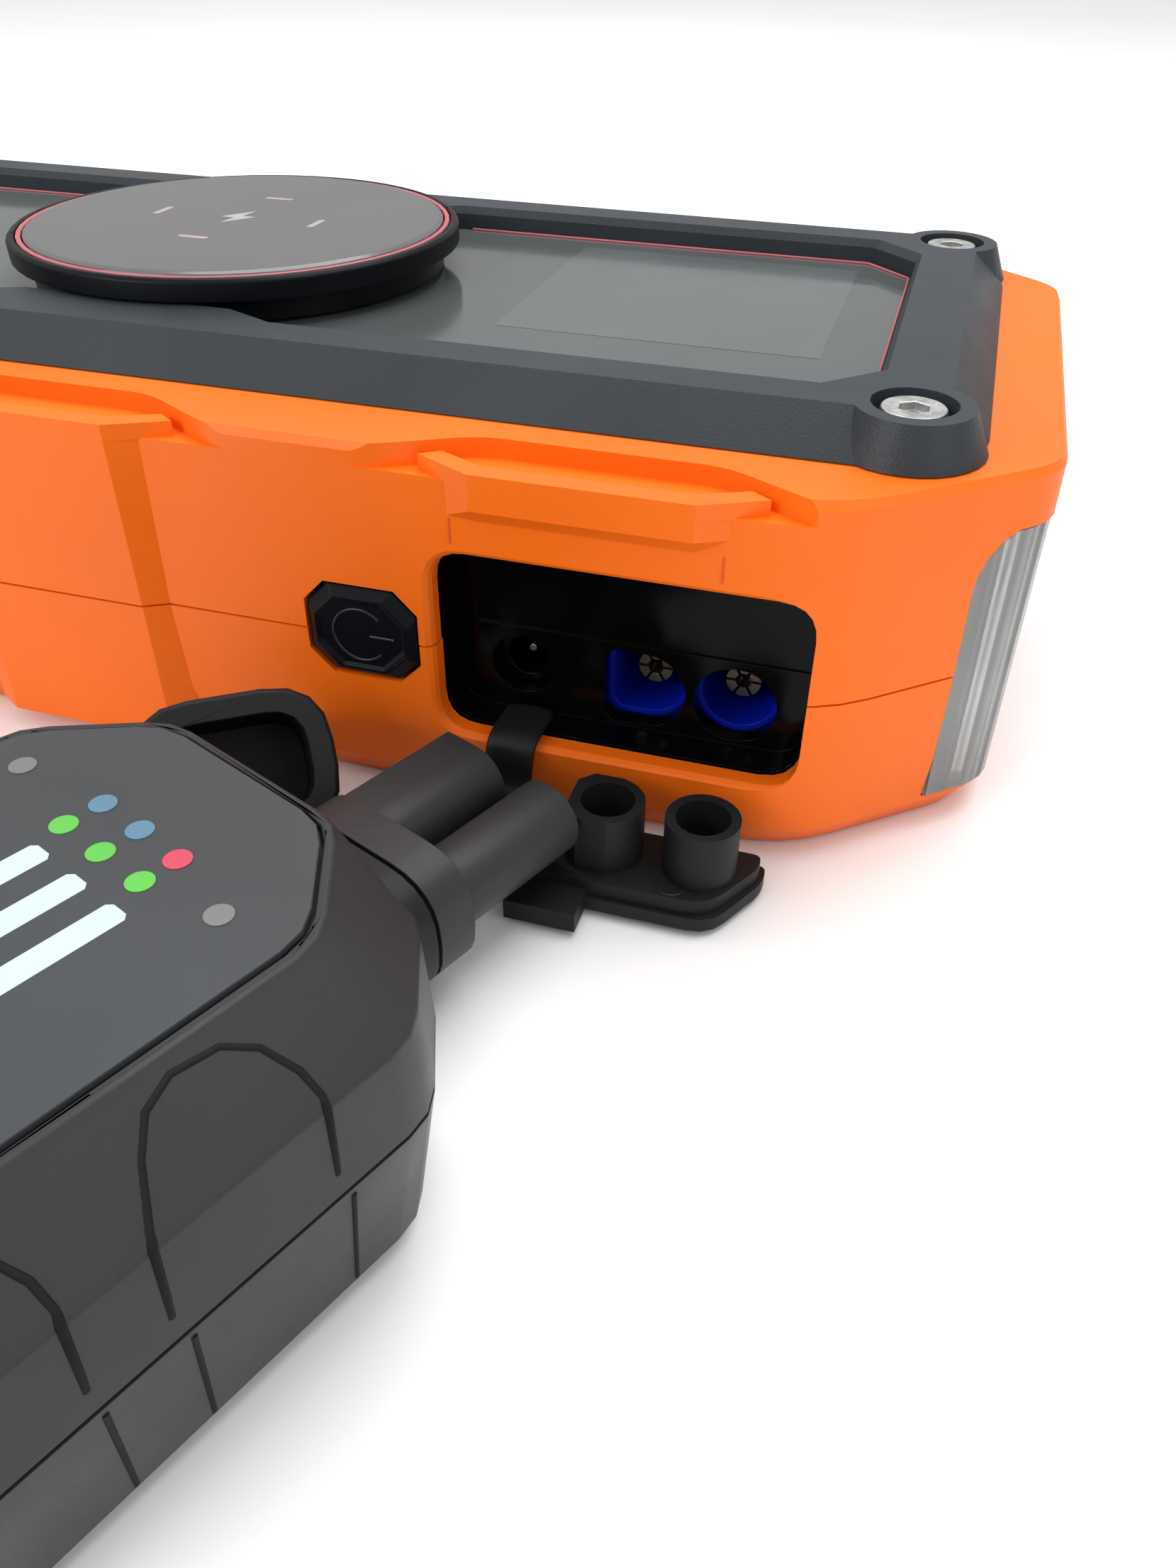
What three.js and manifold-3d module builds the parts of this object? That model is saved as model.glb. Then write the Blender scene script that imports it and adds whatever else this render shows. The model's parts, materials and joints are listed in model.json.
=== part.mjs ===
// Jump starter pack with its smart cable module, in millimetres.
// +Z is up, the pack stands on z = 0 and its long side with the ports faces -Y.
import * as THREE from 'three';
import { mergeGeometries, mergeVertices } from 'three/addons/utils/BufferGeometryUtils.js';
import Module from 'manifold-3d';

const wasm = await Module();
wasm.setup();

// ---- driving dimensions -------------------------------------------------
const GAP = 0.3; // clearance between neighbouring pieces
const PACK = { halfX: 132.6, halfY: 61.3, cornerX: 108, cornerY: 40, top: 52.95, seam: 25.7 };
const WALL = 3;
const BUMPER = {
  centres: [-77.7, 0, 77.7], half: 15.5, deep: 53.9, flare: 27.7, edge: 60.7, floor: 49.95,
  front: 63.2, flat: 13.9, blend: 17.9, barTop: 51.9, low: 45.2,
};
const BAY = {
  x0: 57, x1: 106.9, z0: 12.3, z1: 39.8, radius: 5, tubFront: -57.6, back: -52.5, tubRear: -49.6,
};
const SOCKET = { dx: 84.2, rx: 96.8, z: 18.9, r: 5.75, bore: 5.15, contact: -45.9, depth: 21 };
const JACK = { x: 66.5, z: 19.9, r: 4.5 };
const BUTTON = { x0: 38.5, x1: 55, z0: 19.3, z1: 33.35, cut: 3.2, travel: 1 };
const BEZEL = { baseX: 122.7, baseY: 49, topX: 117.7, topY: 44.3, top: 58.5, inX: 108, inY: 36.7, cut: 7.5 };
const BOSS = { x: 113.06, y: 40.96, r: 7.5, bore: 5.34, head: 4.3 };
const PAD = { r: 36, stem: 33.2, seatHalf: 17, seatY: 33, low: 55.2, flange: 58.8, rim: 62, top: 62.4 };
const LENS = { z0: 5.5, z1: 45.5, cornerX: 124.4, cornerY: 47.1, thick: 2.6, corner: 8 };
const FLAP = {
  x0: 64.5, x1: 105, y0: -65, y1: -78, z0: 0.6, z1: 5, plugY: -70.5, plugTop: 13.4, plugR: 4.9,
};
const STRAP = { x0: 64.8, x1: 71.6 };
const PLUG = { x: 65.8, y: -69.4, z: 12.1, pitch: 12.6, r: 5.1, length: 20.5, yaw: 23.1 };
const COLLAR = { halfW: 12.6, halfH: 8.2, neck: 1.7 };
const MOD = {
  front: 36, back: 108, half: 33.5, seam: 20.5, shoulder: 31, top: 37.8, panelHalf: 23.2, corner: 10.5,
};
const CAP = { halfW: 12.6, halfH: 9.75, depth: 15.5, x: 37.9, y: -82.1, z: 16.2, turn: 35.3, tip: 52.4 };

// ---- helpers ------------------------------------------------------------
const V = (x, y) => new THREE.Vector2(x, y);

function toManifold(geometry) {
  const g = geometry.index ? geometry.toNonIndexed() : geometry.clone();
  g.deleteAttribute('normal');
  g.deleteAttribute('uv');
  const m = mergeVertices(g, 1e-4);
  return new wasm.Manifold(new wasm.Mesh({
    numProp: 3,
    vertProperties: new Float32Array(m.attributes.position.array),
    triVerts: new Uint32Array(m.index.array),
  }));
}

function toGeometry(manifold) {
  const mesh = manifold.getMesh();
  const g = new THREE.BufferGeometry();
  g.setAttribute('position', new THREE.BufferAttribute(new Float32Array(mesh.vertProperties), 3));
  g.setIndex(new THREE.BufferAttribute(new Uint32Array(mesh.triVerts), 1));
  return g;
}

function cut(body, ...tools) {
  return toGeometry(tools.reduce((m, t) => m.subtract(toManifold(t)), toManifold(body)));
}

function join(body, ...more) {
  return toGeometry(more.reduce((m, t) => m.add(toManifold(t)), toManifold(body)));
}

const common = (body, tool) => toGeometry(toManifold(body).intersect(toManifold(tool)));

function block(x0, x1, y0, y1, z0, z1) {
  const g = new THREE.BoxGeometry(x1 - x0, y1 - y0, z1 - z0);
  return g.translate((x0 + x1) / 2, (y0 + y1) / 2, (z0 + z1) / 2);
}

// A cylinder from p along one axis ('x', 'y' or 'z').
function rod(axis, r, x, y, z, length, sides = 28, r2 = r) {
  const g = new THREE.CylinderGeometry(r2, r, length, sides);
  if (axis === 'z') g.rotateX(Math.PI / 2).translate(x, y, z + length / 2);
  if (axis === 'y') g.translate(x, y + length / 2, z);
  if (axis === 'x') g.rotateZ(-Math.PI / 2).translate(x + length / 2, y, z);
  return g;
}

// A solid skinned through rings of [x, y, z] points, all rings with the same count.
function loft(rings) {
  const n = rings[0].length;
  const points = rings.flat();
  const index = [];
  for (let k = 0; k + 1 < rings.length; k++) {
    for (let i = 0; i < n; i++) {
      const [a, b] = [k * n + i, k * n + (i + 1) % n];
      index.push(a, b, b + n, a, b + n, a + n);
    }
  }
  const flat = rings[0].map(([x, y]) => V(x, y));
  for (const [a, b, c] of THREE.ShapeUtils.triangulateShape(flat, [])) {
    const top = (rings.length - 1) * n;
    index.push(c, b, a, top + a, top + b, top + c);
  }
  const g = new THREE.BufferGeometry();
  g.setAttribute('position', new THREE.Float32BufferAttribute(points.flat(), 3));
  g.setIndex(index);
  return g;
}

// Rounds every corner of a counter-clockwise polygon.
function rounded(polygon, radius, steps = 3) {
  return polygon.flatMap(([x, y], i) => {
    const [px, py] = polygon[(i + polygon.length - 1) % polygon.length];
    const [nx, ny] = polygon[(i + 1) % polygon.length];
    const p = V(x, y);
    const toPrev = V(px - x, py - y);
    const toNext = V(nx - x, ny - y);
    const wanted = Array.isArray(radius) ? radius[i % radius.length] : radius;
    const reach = Math.min(wanted, toPrev.length() * 0.45, toNext.length() * 0.45);
    const a = p.clone().add(toPrev.setLength(reach));
    const b = p.clone().add(toNext.setLength(reach));
    const curve = new THREE.QuadraticBezierCurve(a, p, b);
    return curve.getPoints(steps).map((q) => [q.x, q.y]);
  });
}

// The pack's eight-sided plan, pulled in by d.
function packPlan(d) {
  const X = PACK.halfX - d;
  const Y = PACK.halfY - d;
  const cx = PACK.cornerX - 0.45 * d;
  const cy = PACK.cornerY - 0.35 * d;
  return [[-X, -cy], [-cx, -Y], [cx, -Y], [X, -cy], [X, cy], [cx, Y], [-cx, Y], [-X, cy]];
}

const ring = (polygon, z) => polygon.map(([x, y]) => [x, y, z]);

// A prism from a plan polygon between two heights.
const slab = (polygon, z0, z1) => loft([ring(polygon, z0), ring(polygon, z1)]);

// A plate drawn in x and z, running from y0 to y1.
function wallPlate(polygon, y0, y1) {
  return slab(polygon.map(([x, z]) => [x, z]), -y1, -y0).rotateX(Math.PI / 2);
}

const rectangle = (x0, x1, z0, z1) => [[x0, z0], [x1, z0], [x1, z1], [x0, z1]];

function octagon(x0, x1, z0, z1, c) {
  return [[x0 + c, z0], [x1 - c, z0], [x1, z0 + c], [x1, z1 - c],
    [x1 - c, z1], [x0 + c, z1], [x0, z1 - c], [x0, z0 + c]];
}

// ---- pack shells --------------------------------------------------------
const PLAN_RADII = [4.5, 8, 8, 4.5];
const shellRing = (d, z) => ring(rounded(packPlan(d), PLAN_RADII, 4), z);
const mirrored = (plan, side) => (side > 0 ? plan : plan.map(([x, y]) => [x, -y]).reverse());

// The bumper block's plan; front is how far its face stands out.
function bumperPlan(cx, front, side) {
  const { flat, blend, deep } = BUMPER;
  return mirrored([[cx - blend, deep - 0.5], [cx + blend, deep - 0.5], [cx + blend, 60.9], [cx + flat, front],
    [cx - flat, front], [cx - blend, 60.9]], side);
}

// The raised bar along the bumper's top edge, swept back at both ends.
function barPlan(cx, side) {
  const { front, flat } = BUMPER;
  return mirrored([[cx + flat, front], [cx - flat, front], [cx - 21.8, 59.1], [cx - 19.3, 57.3],
    [cx - 13.2, 60.3], [cx + 13.2, 60.3], [cx + 19.3, 57.3], [cx + 21.8, 59.1]], side);
}

function notchPlan(cx, side) {
  const { half, deep, flare, edge } = BUMPER;
  return mirrored(rounded([[cx - half, deep], [cx + half, deep], [cx + flare, edge], [cx + flare + 5.5, 61.4],
    [cx + flare + 5.5, 66], [cx - flare - 5.5, 66], [cx - flare - 5.5, 61.4], [cx - flare, edge]], 3), side);
}

// The bumper's block: full height on the middle ones, from above the bay on the outer ones.
function bumperBlock(cx, side, z0, z1, sloped) {
  const low = ring(bumperPlan(cx, sloped ? 61.35 : BUMPER.front, side), z0);
  const full = bumperPlan(cx, BUMPER.front, side);
  return loft([low, ring(full, z0 + 2), ring(full, z1)]);
}

function bayOutline(grow) {
  return rounded(rectangle(BAY.x0 - grow, BAY.x1 + grow, BAY.z0 - grow, BAY.z1 + grow), BAY.radius + grow, 5);
}

// The bay's mouth, its lip eased where it meets the outside face.
function bayCut() {
  const at = (grow, y) => bayOutline(grow).map(([x, z]) => [x, z, -y]);
  return loft([at(0, -50), at(0, -60.1), at(0.35, -60.8), at(1.1, -61.3), at(1.1, -66)]).rotateX(Math.PI / 2);
}

function buttonCut() {
  return wallPlate(octagon(BUTTON.x0, BUTTON.x1, BUTTON.z0, BUTTON.z1, BUTTON.cut), -66, -50);
}

// The region at the +X end that the lens fills: its front and rear edges cross the chamfers
// squarely, and its upper corners are rounded.
function lensRegion(grow) {
  const along = V(PACK.halfX - PACK.cornerX, PACK.halfY - PACK.cornerY).normalize();
  const out = V(along.y, -along.x);
  const r = LENS.corner;
  const level = (z, slide) => {
    const edge = V(LENS.cornerX, -LENS.cornerY).addScaledVector(along, slide - grow);
    const a = edge.clone().addScaledVector(out, -9);
    const b = edge.clone().addScaledVector(out, 7);
    return ring([[a.x, a.y], [b.x, b.y], [145, -30], [145, 30], [b.x, -b.y], [a.x, -a.y]], z);
  };
  const top = LENS.z1 + grow;
  const arc = [0, 0.25, 0.5, 0.75, 1].map((k) => {
    return level(top - r + r * Math.sin(k * 1.25), r * (1 - Math.cos(k * 1.25)));
  });
  return loft([level(LENS.z0 - grow, 0), ...arc]);
}

const lensCut = () => lensRegion(GAP);

function upperShell() {
  const low = PACK.seam + 0.15;
  const outer = loft([shellRing(0, low), shellRing(0.3, PACK.top - 1.05), shellRing(0.9, PACK.top)]);
  let body = toManifold(outer);
  for (const side of [-1, 1]) {
    for (const cx of BUMPER.centres) {
      body = body.subtract(toManifold(slab(notchPlan(cx, side), BUMPER.floor, PACK.top + 2)));
      const z0 = cx === 0 ? PACK.seam + 0.15 : BUMPER.low;
      body = body.add(toManifold(bumperBlock(cx, side, z0, BUMPER.floor + 0.5, cx !== 0)));
      body = body.add(toManifold(slab(barPlan(cx, side), BUMPER.floor - 0.2, BUMPER.barTop)));
    }
  }
  const inner = slab(rounded(packPlan(WALL), 5), PACK.seam - 1, 46.2);
  const crown = slab(rounded(rectangle(-121, 121, -50, 50), 16), 46, 49.9);
  const window = slab(rounded(rectangle(-101, 101, -32.5, 32.5), 6), 48, PACK.top + 2);
  for (const tool of [inner, crown, window, bayCut(), buttonCut(), lensCut()]) {
    body = body.subtract(toManifold(tool));
  }
  return toGeometry(body);
}

function lowerShell() {
  const outer = loft([shellRing(4.2, 0), shellRing(1.2, 4.5), shellRing(0.25, 12),
    shellRing(0, PACK.seam - 0.15)]);
  let body = toManifold(outer);
  for (const side of [-1, 1]) {
    body = body.add(toManifold(bumperBlock(0, side, 3, PACK.seam - 0.15, false)));
  }
  const inner = slab(rounded(packPlan(WALL + 0.4), 5), WALL, PACK.seam + 1);
  for (const tool of [inner, bayCut(), buttonCut(), lensCut()]) body = body.subtract(toManifold(tool));
  for (const [x, y] of corners(96, 42)) body = body.subtract(toManifold(rod('z', 7.3, x, y, -1, 3.2)));
  return toGeometry(body);
}

const corners = (x, y) => [[x, -y], [x, y], [-x, y], [-x, -y]];
const rubberFoot = ([x, y]) => rod('z', 7, x, y, 0, 1.9);

// ---- top deck -----------------------------------------------------------
// The recess in the bezel: wider beyond the pad's seat, narrower in front of and behind the pad.
function deckPlan(grow) {
  const [X, Y, c, s] = [BEZEL.inX + grow, BEZEL.inY + grow, BEZEL.cut, PAD.seatHalf];
  const near = PAD.seatY + grow;
  return [[-X + c, -Y], [-s - 8, -Y], [-s, -near], [s, -near], [s + 8, -Y], [X - c, -Y], [X, -Y + c],
    [X, Y - c], [X - c, Y], [s + 8, Y], [s, near], [-s, near], [-s - 8, Y], [-X + c, Y], [-X, Y - c],
    [-X, -Y + c]];
}

function bezelFrame() {
  const outline = (hx, hy, r, z) => ring(rounded(rectangle(-hx, hx, -hy, hy), r, 4), z);
  const low = PACK.top + 0.2;
  let body = toManifold(loft([outline(BEZEL.baseX, BEZEL.baseY, 13, low),
    outline(BEZEL.topX + 0.4, BEZEL.topY + 0.4, 10, BEZEL.top - 0.8),
    outline(BEZEL.topX - 0.4, BEZEL.topY - 0.4, 10, BEZEL.top)]));
  for (const [x, y] of corners(BOSS.x, BOSS.y)) {
    body = body.add(toManifold(rod('z', BOSS.r + 2.2, x, y, low, BEZEL.top - low, 28, BOSS.r)));
  }
  const recess = loft([ring(deckPlan(0), low - 1), ring(deckPlan(0), BEZEL.top - 1.2),
    ring(deckPlan(1.2), BEZEL.top + 0.6)]);
  body = body.subtract(toManifold(recess));
  body = body.subtract(toManifold(rod('z', PAD.stem + 0.4, 0, 0, low - 1, 12, 56)));
  for (const [x, y] of corners(BOSS.x, BOSS.y)) {
    body = body.subtract(toManifold(rod('z', BOSS.bore, x, y, BEZEL.top - 2.6, 5)));
  }
  return toGeometry(body);
}

function socketScrew([x, y]) {
  const z = BEZEL.top - 2.3;
  return cut(rod('z', BOSS.head, x, y, z, 1.8, 28, BOSS.head - 0.3), rod('z', 2, x, y, z + 0.7, 3, 6));
}

function glassPanel() {
  return cut(slab(deckPlan(-GAP), PACK.top + 0.3, PACK.top + 1.8), rod('z', PAD.r - 6, 0, 0, 50, 8, 40));
}

const displayModule = () => block(50.5, 98.8, -17, 31, 47.5, PACK.top - 0.1);
const circle = (r, z, n = 56) => Array.from({ length: n }, (_, i) => {
  const t = i * 2 * Math.PI / n;
  return [r * Math.cos(t), r * Math.sin(t), z];
});

// The pad's body: a stem through the bezel under a wider flange that stands over the rim.
function padBase() {
  const { r, stem, low, flange, rim } = PAD;
  const outer = loft([circle(stem, low), circle(stem, flange), circle(r, flange), circle(r, rim - 0.5),
    circle(r - 0.5, rim)]);
  return cut(outer, rod('z', 31, 0, 0, 52, 7.8, 40), rod('z', stem + 1.5, 0, 0, rim - 0.9, 3, 56));
}
function padRing() {
  const disc = rod('z', PAD.stem + 1.3, 0, 0, PAD.rim - 0.6, 0.6, 56);
  return cut(disc, rod('z', PAD.stem + 0.5, 0, 0, 60, 4, 56));
}

function padTop() {
  const r = PAD.stem + 0.3;
  return loft([circle(r, PAD.rim - 0.6), circle(r, PAD.rim), circle(r - 0.8, PAD.top)]);
}

const ferriteDisc = () => rod('z', 27, 0, 0, 55.4, 1.2, 40);
const chargingCoil = () => cut(rod('z', 25, 0, 0, 56.9, 2, 48), rod('z', 10, 0, 0, 56, 4, 32));

// ---- port bay -----------------------------------------------------------
function dHole(x, z, r, y0, y1) {
  const arc = Array.from({ length: 15 }, (_, i) => {
    const t = -Math.PI / 2 + i * Math.PI / 14;
    return [x + r * Math.cos(t), z + r * Math.sin(t)];
  });
  const flat = [[x - r + 1.2, z + r], [x - r, z + r - 1.2], [x - r, z - r + 1.2], [x - r + 1.2, z - r]];
  return wallPlate([...arc, ...flat], y0, y1);
}

// A tub that lines the bay, open to the front, with the socket and jack holes in its back wall.
function portInsert() {
  const room = slab(rounded(packPlan(WALL + 0.7), 5), 0, PACK.top);
  const solid = common(wallPlate(bayOutline(1.2), BAY.tubFront - 1, BAY.tubRear), room);
  const groove = block(50, 120, -53, BAY.back + 0.4, 25.85, 26.15);
  return cut(solid, wallPlate(bayOutline(-0.3), -66, BAY.back), groove,
    dHole(SOCKET.dx, SOCKET.z, SOCKET.r, -60, -45), rod('y', SOCKET.r, SOCKET.rx, -60, SOCKET.z, 15),
    rod('y', JACK.r, JACK.x, -60, JACK.z, 15));
}

function socketHousing() {
  const { dx, rx, z, bore, depth } = SOCKET;
  const front = BAY.tubRear + GAP;
  const body = wallPlate(rounded(rectangle(dx - 8, rx + 8, z - 7.6, z + 7.6), 3), front, front + depth);
  return cut(body, dHole(dx, z, bore, front - 2, front + depth - 2), rod('y', bore, rx, front - 2, z, depth));
}

// A round pin with a small bore and six slots round its mouth.
function socketContact(x) {
  const { contact: y, z } = SOCKET;
  const slots = [0, 60, 120].map((a) => block(-3, 3, y - 1, y + 2.4, -0.2, 0.2)
    .rotateY(THREE.MathUtils.degToRad(a)).translate(x, 0, z));
  return cut(rod('y', 2.5, x, y, z, 13, 24), rod('y', 1.15, x, y - 1, z, 9, 16), ...slots);
}

function jackBarrel() {
  return cut(rod('y', JACK.r - 0.3, JACK.x, -50, JACK.z, 12), rod('y', 3, JACK.x, -51, JACK.z, 10.4));
}

const jackPin = () => rod('y', 0.6, JACK.x, -47.9, JACK.z, 7, 14);

// ---- power button -------------------------------------------------------
function powerButton() {
  const { x0, x1, z0, z1, cut: c } = BUTTON;
  const level = (d, y) => octagon(x0 + d, x1 - d, z0 + d, z1 - d, c).map(([x, z]) => [x, z, y]);
  const cap = loft([level(0.35, 57.2), level(0.35, 60.9), level(1.5, 62.1), level(1.9, 62.1),
    level(2.3, 61.7)]);
  const flange = octagon(x0 - 0.8, x1 + 0.4, z0 - 1, z1 + 1, c);
  const stem = rod('y', 2.4, 46.7, -57, 26.3, 3.4, 16);
  return join(cap.rotateX(Math.PI / 2), wallPlate(flange, -57.5, -56.5), stem);
}

function tactSwitch() {
  return join(block(41.7, 51.7, -51.6, -48, 21.3, 31.3), rod('y', 1.8, 46.7, -52.4, 26.3, 1.2, 16));
}

// ---- work light ---------------------------------------------------------
function lightLens() {
  const { z0, z1, thick } = LENS;
  const plan = (d) => rounded(packPlan(d), PLAN_RADII, 4);
  const band = cut(slab(plan(0.5), z0, z1), slab(plan(0.5 + thick), z0 - 1, z1 + 1));
  const body = common(band, lensRegion(0));
  const flutes = [];
  for (let y = -37.5; y <= 38; y += 3) {
    flutes.push(rod('z', 1, PACK.halfX - 0.5 - thick - 0.35, y, z0 + 2, z1 - z0 - 4, 6));
  }
  return cut(body, ...flutes);
}

const lightReflector = () => cut(block(121.2, 126.4, -38, 38, 7, 44),
  loft([ring(rectangle(-33, 33, -14, 14), -1), ring(rectangle(-35.5, 35.5, -16.5, 16.5), 5)])
    .rotateZ(Math.PI / 2).rotateY(Math.PI / 2).translate(123, 0, 25.5));
const lightBoard = () => block(119.3, 120.9, -38, 38, 9, 42);
const lightChip = (y, z) => block(122.3, 123.1, y - 1.5, y + 1.5, z - 1.5, z + 1.5);

// ---- inside the pack ----------------------------------------------------
const batteryCell = (k) => slab(rounded(rectangle(-96 + k * 42, -57 + k * 42, -46, 46), 3, 2), 7.6, 36.5);
function batteryTray() {
  return cut(block(-98.4, 30, -48.4, 48.4, WALL + 0.3, 12), block(-96.6, 28.3, -46.6, 46.6, 7.2, 14));
}

const mainBoard = () => block(-97, 30, -45, 45, 40.4, 42);
const busBar = (side) => block(-90, 24, side * 18 - 5, side * 18 + 5, 37, 38.4);

// ---- port cover ---------------------------------------------------------
function plugCup(x, flat) {
  const z0 = FLAP.z1 - 0.2;
  const h = FLAP.plugTop - z0;
  const r = FLAP.plugR;
  const square = slab(octagon(x - r, x + r - 2, FLAP.plugY - r, FLAP.plugY + r, 1.9), z0, z0 + h);
  const round = rod('z', r, x, FLAP.plugY, z0, h);
  const outer = flat ? join(round, square) : round;
  return cut(outer, rod('z', 3.6, x, FLAP.plugY, z0 + 1.2, h, 20));
}

// The cover's plate with two hollow plugs; its near edge is set back where the strap joins.
function portFlap() {
  const { x0, x1, y0, y1, z0, z1 } = FLAP;
  const radii = [1.2, 3, 3, 1.2, 1.2, 1.2, 1.2];
  const plan = (d) => rounded([[x0 + d, y1 + d], [x1 - 5 - d, y1 + d], [x1 - d, y1 + 9.5], [x1 - d, y0 - d],
    [x0 + 9 + d, y0 - d], [x0 + 9 + d, y0 - 2 - d], [x0 + d, y0 - 2 - d]], radii, 3);
  const tab = block(73.8, 83.4, y1 - 4.6, y1 + 1, z0, 3.6);
  const cups = [plugCup(SOCKET.dx, true), plugCup(SOCKET.rx, false)];
  return join(slab(plan(0), z0, 2.6), slab(plan(0.7), 2.4, z1), tab, ...cups);
}

// The strap's outline in y and z, given a width in x.
function strapPiece(points) {
  const shape = new THREE.Shape(points.map(([y, z]) => V(y, z)));
  const g = new THREE.ExtrudeGeometry(shape, { depth: STRAP.x1 - STRAP.x0, bevelEnabled: false });
  return g.rotateY(Math.PI / 2).rotateX(Math.PI / 2).translate(STRAP.x0, 0, 0);
}

const strapRoot = () => strapPiece([[-53, 12.9], [-61, 12.9], [-61.9, 12.2], [-62, 6.6], [-63.5, 6.6],
  [-63.5, 12.4], [-61.4, 14.2], [-53, 14.2]]);
const strapTail = () => strapPiece([[-67.2, 5.3], [-70.5, 5.3], [-70.5, 6.3], [-67.2, 6.3]]);

// ---- cable module, drawn with its plug along +Y and its prong tips on y = 0 ----
function placeModule(g) {
  const yaw = THREE.MathUtils.degToRad(PLUG.yaw);
  const half = PLUG.pitch / 2;
  return g.rotateZ(-yaw).translate(PLUG.x + half * Math.cos(yaw), PLUG.y - half * Math.sin(yaw), 0);
}

// Eight-sided plan of the module's box: w half width, f front, b back, c corner cut.
function boxPlan(w, f, b, c) {
  return rounded([[-w, -b + c], [-w + c, -b], [w - c, -b], [w, -b + c],
    [w, -f - c], [w - c, -f], [-w + c, -f], [-w, -f - c]], 3, 2);
}

function moduleTop() {
  const m = MOD;
  const c = m.corner;
  const rings = [
    ring(boxPlan(m.half, m.front, m.back, c), m.seam + 0.15),
    ring(boxPlan(m.half - 0.6, m.front + 0.4, m.back - 0.4, c), m.shoulder),
    ring(boxPlan(m.half - 1.4, m.front + 0.8, m.back - 0.9, c), m.shoulder + 0.8),
    ring(boxPlan(m.panelHalf + 1.6, m.front + 0.9, m.back - 5, c + 0.8), m.top - 0.9),
    ring(boxPlan(m.panelHalf + 0.6, m.front + 1.4, m.back - 5.6, c + 0.5), m.top),
  ];
  const inner = slab(boxPlan(m.half - 3.2, m.front + 3.4, m.back - 5.5, c - 1), m.seam - 1, m.shoulder - 2);
  const pocket = slab(boxPlan(m.panelHalf - 0.4, m.front + 2.2, m.back - 6.6, c), m.top - 0.9, m.top + 1);
  return placeModule(cut(loft(rings), inner, pocket, collarCut()));
}

// A bar along the plug's axis with a rounded oblong section.
function oblong(halfW, halfH, y0, y1) {
  const section = rounded(rectangle(-halfW, halfW, PLUG.z - halfH, PLUG.z + halfH), halfH * 0.95, 6);
  return wallPlate(section, y0, y1);
}

const collarCut = () => oblong(COLLAR.halfW + 0.9, COLLAR.halfH + 0.9, -MOD.front - 5, -MOD.front + 4);

function moduleBottom() {
  const m = MOD;
  const c = m.corner;
  const rings = [
    ring(boxPlan(m.half - 4.5, m.front + 2.2, m.back - 2.5, c - 1), 0),
    ring(boxPlan(m.half - 2.6, m.front + 0.8, m.back - 1, c), 3),
    ring(boxPlan(m.half, m.front, m.back, c), m.seam - 0.15),
  ];
  const inner = slab(boxPlan(m.half - 5, m.front + 4, m.back - 5.5, c - 1), 3.2, m.seam + 1);
  const glands = [-11, 11].map((x) => rod('y', 6.6, x, -m.back - 2, 10.4, 14, 24));
  return placeModule(cut(loft(rings), inner, collarCut(), ...glands));
}

function modulePanel() {
  const m = MOD;
  const plan = boxPlan(m.panelHalf - 0.7, m.front + 2.5, m.back - 6.9, m.corner - 0.2);
  return placeModule(slab(plan, m.top - 0.6, m.top + 0.3));
}

function plugHousing() {
  const half = PLUG.pitch / 2;
  const { halfW: w, halfH: h, neck } = COLLAR;
  const collar = oblong(w + 0.6, h + 0.6, -MOD.front - 3, -30);
  const throat = oblong(w - neck, h - neck, -31, -25);
  const flange = oblong(w, h, -25.5, -PLUG.length + 0.4);
  const dProng = join(rod('y', PLUG.r, -half, -PLUG.length, PLUG.z, PLUG.length),
    block(-half - PLUG.r, -half, -PLUG.length, 0, PLUG.z - PLUG.r, PLUG.z + PLUG.r));
  const roundProng = rod('y', PLUG.r, half, -PLUG.length, PLUG.z, PLUG.length);
  const bores = [-half, half].map((x) => rod('y', 3.4, x, -14, PLUG.z, 16, 20));
  return placeModule(cut(join(collar, throat, flange, dProng, roundProng), ...bores));
}

function plugContact(side) {
  const x = side * PLUG.pitch / 2;
  return placeModule(cut(rod('y', 3.1, x, -13.7, PLUG.z, 12.5, 20), rod('y', 2.6, x, -12, PLUG.z, 14, 20)));
}

const moduleBoard = () => placeModule(block(-22, 22, -MOD.back + 12, -MOD.front - 12, 22, 23.5));

function cableGland(side) {
  const x = side * 11;
  const collar = rod('y', 7.4, x, -MOD.back - 1.6, 10.4, 1.4, 24);
  const sleeve = join(rod('y', 6.2, x, -MOD.back - 5, 10.4, 12, 24), collar);
  return placeModule(cut(sleeve, rod('y', 3.2, x, -MOD.back - 8, 10.4, 18, 16)));
}

// A ring round the plug's neck with a short tongue that holds the cap's hinge.
// A band round the plug's neck with a tongue beside the flange that holds the cap's hinge.
function capTether() {
  const { halfW: w, halfH: h, neck } = COLLAR;
  const band = cut(oblong(w, h, -29.5, -26), oblong(w - neck + 0.4, h - neck + 0.4, -31, -24));
  const tongue = join(block(-15.6, -12, -29.5, -26, 10, 15), block(-15.6, -13.6, -27, -20.6, 10, 15));
  return placeModule(join(band, tongue));
}

// ---- plug cap: an oblong cup with a thick rim, lying back with its mouth tipped up ----
function plugCap() {
  const { halfW: w, halfH: h, depth } = CAP;
  const oval = (d, z) => ring(rounded(rectangle(-w + d, w - d, -h + d, h - d), 8 - d, 4), z);
  const outer = loft([oval(2.6, -depth), oval(1.8, -depth + 1.5), oval(1.4, -2.4), oval(0, -2.4),
    oval(0, -0.5), oval(0.5, 0)]);
  const room = loft([oval(3.6, -depth + 2), oval(3.2, 1)]);
  const lug = block(8.4, 12.4, -h - 1.6, -h + 2.4, -2.2, 2.4);
  return cut(join(outer, lug), room);
}

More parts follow.
